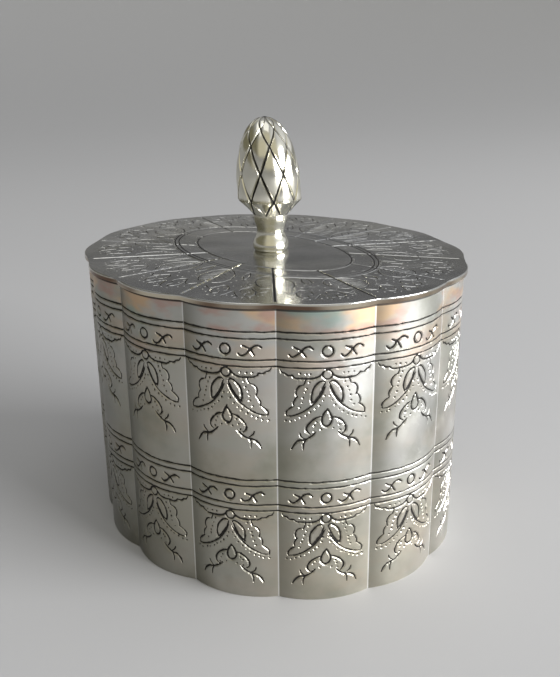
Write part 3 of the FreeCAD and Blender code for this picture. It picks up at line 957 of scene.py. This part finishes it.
# %% The turned stem
STEM = [
    (0.0, 0.0), (4.3, 0.0), (4.62, 0.3), (4.88, 0.8), (4.96, 1.4), (4.86, 2.1), (4.55, 2.9),
    (4.15, 3.7), (3.88, 4.5), (3.78, 5.2), (3.84, 6.0), (4.08, 6.9), (4.42, 7.8), (4.64, 8.8),
    (4.7, 9.9), (4.6, 10.3), (3.5, 10.9),
]
STUD_RADIUS, STUD_LENGTH = 1.5, 5.1
STEM_SIDES, STEM_STEP = 72, 0.25


def add_turned(parcel, profile):
    """A closed turned form. The profile runs from the axis outwards and up."""
    profile = np.array(profile)
    rays = circle(np.linspace(0, 2 * math.pi, STEM_SIDES, endpoint=False))
    slope = np.gradient(profile, axis=0)
    normal = unit(np.stack([slope[:, 1], -slope[:, 0]], axis=1))
    rows = [raised(rays * radius, LID_TOP + height) for radius, height in profile]
    facings = [raised(rays * flat, rise) for flat, rise in normal]
    for row in range(len(rows) - 1):
        parcel.add(*ring_strip(rows[row], rows[row + 1], facings[row], facings[row + 1]))


def build_finial():
    parcel = Parcel()
    for row in range(LAST_ROW + 1):
        for number in range(LATTICE):
            add_facet(parcel, row, 2 * number + (row + 1) % 2)
    add_turned(parcel, [STEM[0], STEM[1]])
    add_turned(parcel, smooth_path(STEM[1:], STEM_STEP))
    add_turned(parcel, [(0.0, -STUD_LENGTH), (STUD_RADIUS, -STUD_LENGTH)])
    add_turned(parcel, [(STUD_RADIUS, -STUD_LENGTH), (STUD_RADIUS, 0.0)])
    return parcel.piece("acorn_finial")


finial = build_finial()
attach(finial, "root")
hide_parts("finial")

# %% [markdown]
# ## Shader maths that reads as maths
#
# A finish is a small calculation over the surface. Wiring it node by node hides the thought, so
# one small class wraps a socket, and plus, minus and times between wires add the Math nodes.


# %% A wire
class Wire:
    """A node's output. Sums and products of wires add Math nodes."""

    def __init__(self, finish, socket):
        self.finish, self.socket = finish, socket

    def maths(self, operation, first, second):
        return self.finish.node("Math", {"operation": operation}, {0: first, 1: second})

    def __add__(self, other):
        return self.maths("ADD", self, other)

    def __radd__(self, other):
        return self.maths("ADD", other, self)

    def __rsub__(self, other):
        return self.maths("SUBTRACT", other, self)

    def __mul__(self, other):
        return self.maths("MULTIPLY", self, other)

    def __rmul__(self, other):
        return self.maths("MULTIPLY", other, self)

    def between(self, low, high):
        """0 below low, 1 above high, smooth between them."""
        settings = {"interpolation_type": "SMOOTHSTEP"}
        return self.finish.node("MapRange", settings, {0: self, 1: low, 2: high, 3: 0.0, 4: 1.0})

    def share(self, least, more):
        """least where this wire is 0, and so much more where it is 1."""
        return least + more * self


# %% A finish
class Finish:
    """A node tree with one method that adds any node, and names for a few."""

    def __init__(self, tree):
        self.tree = tree

    def plug(self, socket, value):
        if isinstance(value, Wire):
            self.tree.links.new(value.socket, socket)
        else:
            socket.default_value = value

    def feed(self, inputs, values):
        for name, value in values.items():
            self.plug(inputs[name], value)

    def node(self, kind, settings=None, inputs=None, output=0):
        node = self.tree.nodes.new("ShaderNode" + kind)
        for name, value in (settings or {}).items():
            setattr(node, name, value)
        self.feed(node.inputs, inputs or {})
        return Wire(self, node.outputs[output])

    def mix(self, share, first, second):
            return self.node("Mix", {"data_type": "RGBA"}, {0: share, 6: first, 7: second}, output=2)

    def noise(self, place, scale, detail, roughness=0.5):
        inputs = {"Vector": place, "Scale": scale, "Detail": detail, "Roughness": roughness}
        return self.node("TexNoise", {}, inputs)

    def patches(self, place, scale, detail, low, high, roughness=0.5):
        """Noise with soft edges between the two levels."""
        return self.noise(place, scale, detail, roughness).between(low, high)

    def stretched(self, place, x, y, z):
        return self.node("VectorMath", {"operation": "MULTIPLY"}, {0: place, 1: (x, y, z)})

    def along(self, place, way):
        """How far a place lies in one direction."""
        return self.node("VectorMath", {"operation": "DOT_PRODUCT"}, {0: place, 1: way}, output=1)

    def mark(self, name):
        """A number that the mesh carries at each point."""
        return self.node("Attribute", {"attribute_name": name}, output=2)


# %% [markdown]
# ## Silver that has been handled
#
# Old silver is bright, but never one colour. Thin tarnish tints it straw and olive, and where
# the lid shades the wall it turns orange, rose and blue-green, like oil on water. Shade is
# painted on as well: on the left side of every lobe, at the end away from the lamp, towards
# the foot, and as a black shadow line under the lid. The crease itself is rubbed bright, and
# every groove keeps a black line that polishing can't reach. Each of these is a mask, and the
# masks mix colours in turn.

# %% The colours of the metal
BRIGHT = (0.61, 0.61, 0.59, 1)
CAST = (0.85, 0.83, 0.73, 1)
BRASS = (0.60, 0.47, 0.24, 1)
STRAW = (0.50, 0.465, 0.36, 1)
OLIVE = (0.29, 0.295, 0.23, 1)
# Painted shade for the left side of every lobe.
FLANK_SHADE_COLOUR = (0.17, 0.166, 0.13, 1)
# Painted shade for the end away from the lamp and for the foot.
END_SHADE_COLOUR = (0.12, 0.118, 0.09, 1)
ORANGE = (0.84, 0.55, 0.31, 1)
ROSE = (0.60, 0.39, 0.33, 1)
TEAL = (0.36, 0.50, 0.46, 1)
# The grooves' oxide, also used for the painted shadow line under the lid.
OXIDE_AND_SHADE = (0.016, 0.014, 0.012, 1)
RUBBED = (0.92, 0.91, 0.89, 1)
GOLDEN = (0.78, 0.66, 0.42, 1)
RIM_BROWN = (0.11, 0.05, 0.03, 1)

# %% Patches: scale, detail, lower and upper level, and roughness for the finer ones
CLOUDS = (22.0, 2.0, 0.30, 0.72)
SPOTS = (75.0, 4.0, 0.40, 0.80, 0.55)
WORN_CREASES = (30.0, 1.0, 0.45, 0.60)
RIM_STAINS = (42.0, 2.0, 0.40, 0.56)
SMUDGES = (60.0, 5.0, 0.4, 0.75, 0.65)
SCRATCHES, SCRATCH_STRETCH = (700.0, 2.0), (9, 9, 0.7)
WAVES = (45.0, 1.0)
OIL_TINTS = [(ORANGE, 2.2, 62.0, 0.44), (ROSE, 2.6, 85.0, 0.50), (TEAL, 1.8, 58.0, 0.54)]
OIL_DETAIL, OIL_EDGE = 3.0, 0.16

# %% Where each mask starts and is full, in metres, and how strong it is
STRIP_UNDER_LID, UPPER_BAND = (0.0684, 0.0696), (0.0596, 0.0612)
# The first pair is where the painted shade towards the foot fades out; the second is a painted shadow
# line along the wall's top, under the lid's overhang.
WHOLE_WALL, SHADOW_LINE_UNDER_LID = (0.0, 0.075), (0.07385, 0.07405)
RIM_FACE = (0.0754, 0.07572)
# How far across the box the painted shade runs, from the end away from the lamp to the lit end.
SHADED_TO_LIT = (-0.055, 0.025)
OIL_EVERYWHERE, OIL_ON_BAND, OIL_ON_STRIP = 0.07, 0.17, 0.56
# Shares of painted shade on the left side of each lobe and at the end away from the lamp, then of the
# rubbed creases.
FLANK_SHADE_SHARE, END_SHADE_SHARE, CREASE_RUBBED = (0.5, 0.25), (0.35, 0.4), (0.25, 0.6)
RIM_BROWNED, RIM_GOLDEN, SHADOW_LINE_SHARE = (0.12, 0.78), 0.5, 0.9
SMUDGES_DULL, SCRATCHES_DULL, INK_DULL, INK_NOT_METAL = 0.12, 0.06, 0.4, 0.8
BUMP_STRENGTH, BUMP_HEIGHT = 0.35, 0.0012
print("the strip starts", round(WALL_TOP * MM - STRIP_UNDER_LID[0], 4), "m below the lid")


# %% The masks laid over the wall and the lid's rim
def oil_tints(finish, colour, place, height):
    """The colours of thin tarnish, in clouds that are wider than they are tall."""
    band, strip = height.between(*UPPER_BAND), height.between(*STRIP_UNDER_LID)
    strength = OIL_EVERYWHERE + OIL_ON_BAND * band + OIL_ON_STRIP * strip
    for tint, stretch, scale, low in OIL_TINTS:
        wide = finish.stretched(place, 1, 1, stretch)
        cloud = finish.patches(wide, scale, OIL_DETAIL, low, low + OIL_EDGE)
        colour = finish.mix(cloud * strength, colour, tint)
    return colour


def wall_colours(finish, colour, place, height):
    """Oily under the lid, with painted shade at the end away from the lamp, at the foot and beside
    the creases.
    """
    colour = oil_tints(finish, colour, place, height)
    # Painted shade: darker at the end away from the lamp, and more so towards the foot.
    shaded_end = 1 - finish.along(place, TO_BRIGHT_SIDE).between(*SHADED_TO_LIT)
    low = 1 - height.between(*WHOLE_WALL)
    # Painted shade on the left side of every lobe, stronger at the end away from the lamp.
    flank = finish.mark("flank").between(0.0, 1.0)
    colour = finish.mix(flank * shaded_end.share(*FLANK_SHADE_SHARE), colour, FLANK_SHADE_COLOUR)
    colour = finish.mix(shaded_end * low.share(*END_SHADE_SHARE), colour, END_SHADE_COLOUR)
    worn = finish.patches(finish.stretched(place, 1, 1, 0), *WORN_CREASES)
    rubbed = finish.mark("crease").between(0.2, 0.8) * worn.share(*CREASE_RUBBED)
    return finish.mix(rubbed, colour, RUBBED)


def rim_colours(finish, colour, place, height):
    """Golden with brown stains, below the rim's rounded edge."""
    face = 1 - height.between(*RIM_FACE)
    stains = finish.patches(place, *RIM_STAINS)
    colour = finish.mix(face * RIM_GOLDEN, colour, GOLDEN)
    return finish.mix(face * stains.share(*RIM_BROWNED), colour, RIM_BROWN)


# %% The finish itself, in four versions
def new_material(name):
    """A material, what adds its nodes, and the inputs of its shader."""
    material = bpy.data.materials.new(name)
    material.use_nodes = True
    shader = material.node_tree.nodes["Principled BSDF"]
    return material, Finish(material.node_tree), shader.inputs


def silver(name, metal, tarnish, shine, wall_tints=False, brown_rim=False):
    """Silver with this much tarnish. shine is the roughness of clean metal."""
    material, finish, surface = new_material(name)
    place = finish.node("TexCoord", output=3)
    height = finish.node("SeparateXYZ", {}, {0: place}, output=2)
    ink = finish.mark("groove").between(0.42, 0.6)
    colour = finish.mix(finish.patches(place, *CLOUDS) * tarnish, metal, STRAW)
    colour = finish.mix(finish.patches(place, *SPOTS) * tarnish, colour, OLIVE)
    if wall_tints:
        colour = wall_colours(finish, colour, place, height)
        # Painted shadow: a black line along the wall's top under the lid's overhang, joined to the
        # groove ink, so from here the ink mask carries both.
        gap = height.between(*SHADOW_LINE_UNDER_LID) * SHADOW_LINE_SHARE
        ink = ink.maths("MAXIMUM", ink, gap)
    if brown_rim:
        colour = rim_colours(finish, colour, place, height)
    scratches = finish.noise(finish.stretched(place, *SCRATCH_STRETCH), *SCRATCHES)
    rough = shine + finish.patches(place, *SMUDGES) * SMUDGES_DULL + scratches * SCRATCHES_DULL
    waves = finish.noise(place, *WAVES)
    bump = {"Strength": BUMP_STRENGTH, "Distance": BUMP_HEIGHT, "Height": waves}
    finish.feed(surface, {
        "Base Color": finish.mix(ink, colour, OXIDE_AND_SHADE),
        "Roughness": rough + ink * INK_DULL,
        "Metallic": 1 - ink * INK_NOT_METAL,
        "Normal": finish.node("Bump", {}, bump),
    })
    print(name, len(material.node_tree.nodes), "nodes")
    return material


silver_wall = silver("silver_wall", BRIGHT, 0.7, 0.32, wall_tints=True)
silver_lid = silver("silver_lid", BRIGHT, 0.4, 0.12, brown_rim=True)
silver_finial = silver("silver_finial", CAST, 0.3, 0.12)
brass = silver("bare_brass", BRASS, 0.3, 0.3)

for piece, material in ((wall, silver_wall), (lid, silver_lid), (finial, silver_finial)):
    piece.data.materials.append(material)

# %% The four plain pieces keep the model's own shape, and get a finish
PLAIN_PIECES = {
    "base_plate": silver_wall, "lid_flange": silver_lid,
    "finial_washer": brass, "finial_nut": brass,
}
for node, material in PLAIN_PIECES.items():
    for material_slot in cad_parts[node].material_slots:
        material_slot.material = material
    print(node, "gets", material.name)

# %% [markdown]
# ## The studio
#
# Silver has hardly any colour of its own: it shows the room. The floor is pale and matt, and it
# rises gently far out, as a paper sweep does, so that no horizon shows. The room is dark above
# it, lighter overhead, and brightest on the right, where a large soft lamp is the window.

# %% Floor
FLOOR_SIDES = 96
FLOOR_PROFILE = [
    (0.4, 0.0), (0.9, 0.0), (1.3, 0.006), (1.7, 0.03), (2.1, 0.085), (2.5, 0.18), (2.9, 0.33),
    (3.3, 0.54), (3.6, 0.80),
]

angles = np.linspace(0, 2 * math.pi, FLOOR_SIDES, endpoint=False)
floor_points = [(0.0, 0.0, 0.0)]
for radius, rise in FLOOR_PROFILE:
    floor_points += [(radius * math.cos(turn), radius * math.sin(turn), rise) for turn in angles]
floor_faces = [(0, 1 + i, 1 + (i + 1) % FLOOR_SIDES) for i in range(FLOOR_SIDES)]
for ring in range(len(FLOOR_PROFILE) - 1):
    inner = 1 + ring * FLOOR_SIDES
    outer = inner + FLOOR_SIDES
    for i in range(FLOOR_SIDES):
        following = (i + 1) % FLOOR_SIDES
        floor_faces.append((inner + i, outer + i, outer + following, inner + following))
floor_mesh = bpy.data.meshes.new("floor")
floor_mesh.from_pydata(floor_points, [], floor_faces)
floor_mesh.polygons.foreach_set("use_smooth", [True] * len(floor_faces))
floor = put_in_scene("floor", floor_mesh)
print("the floor has", len(floor_faces), "faces")

# %% The floor's finish
FLOOR_COLOUR = (0.46, 0.46, 0.465, 1)
FLOOR_ROUGHNESS = 0.8
GRAIN, GRAIN_ROUGHNESS = (900.0, 2.0), 0.1

floor_material, floor_finish, floor_surface = new_material("matt_floor")
grain = floor_finish.noise(floor_finish.node("TexCoord", output=3), *GRAIN)
floor_rough = FLOOR_ROUGHNESS + grain * GRAIN_ROUGHNESS
floor_finish.feed(floor_surface, {"Base Color": FLOOR_COLOUR, "Roughness": floor_rough})
floor_mesh.materials.append(floor_material)

# %% Room light, mixed from one side to the next
BACKDROP = (0.15, 0.15, 0.155, 1)
OVERHEAD = (0.44, 0.45, 0.48, 1)
FRONT_SIDE = (0.60, 0.57, 0.45, 1)
LEFT_SIDE = (0.175, 0.165, 0.115, 1)
LAMP_SIDE = (0.72, 0.735, 0.77, 1)

world = bpy.data.worlds.new("room")
world.use_nodes = True
bpy.context.scene.world = world
room = Finish(world.node_tree)
background = world.node_tree.nodes["Background"]
direction = room.node("TexCoord", output=0)
rise = room.node("SeparateXYZ", {}, {0: direction}, output=2)
sideways = room.along(direction, TO_BRIGHT_SIDE)
frontal = room.along(direction, TO_FRONT)
light = room.mix(rise.between(0.4, 0.8), BACKDROP, OVERHEAD)
light = room.mix(frontal.between(0.2, 0.8), light, FRONT_SIDE)
light = room.mix((0 - sideways).between(0.35, 0.85), light, LEFT_SIDE)
light = room.mix(sideways.between(0.3, 0.8), light, LAMP_SIDE)
room.plug(background.inputs["Color"], light)
background.inputs["Strength"].default_value = 1.0
print("the room has", len(world.node_tree.nodes), "nodes")

# %% Lamps, with sizes in metres and power in watts
def soft_lamp(name, place, aim, width, height, power):
    data = bpy.data.lights.new(name, "AREA")
    data.shape = "RECTANGLE"
    data.size, data.size_y = width, height
    data.energy = power
    lamp = put_in_scene(name, data)
    lamp.location = place
    lamp.rotation_mode = "QUATERNION"
    lamp.rotation_quaternion = (Vector(aim) - Vector(place)).to_track_quat("-Z", "Y")
    print(name, "lamp", power, "W")


soft_lamp("window", (1.77, 0.94, 0.48), aim=(0, 0, 0.06), width=1.6, height=0.8, power=98.0)
soft_lamp("overhead", (0.1, -0.1, 1.3), aim=(0, 0, 0), width=1.0, height=1.0, power=2.5)

# %% Colour management
bpy.context.scene.view_settings.view_transform = "Standard"
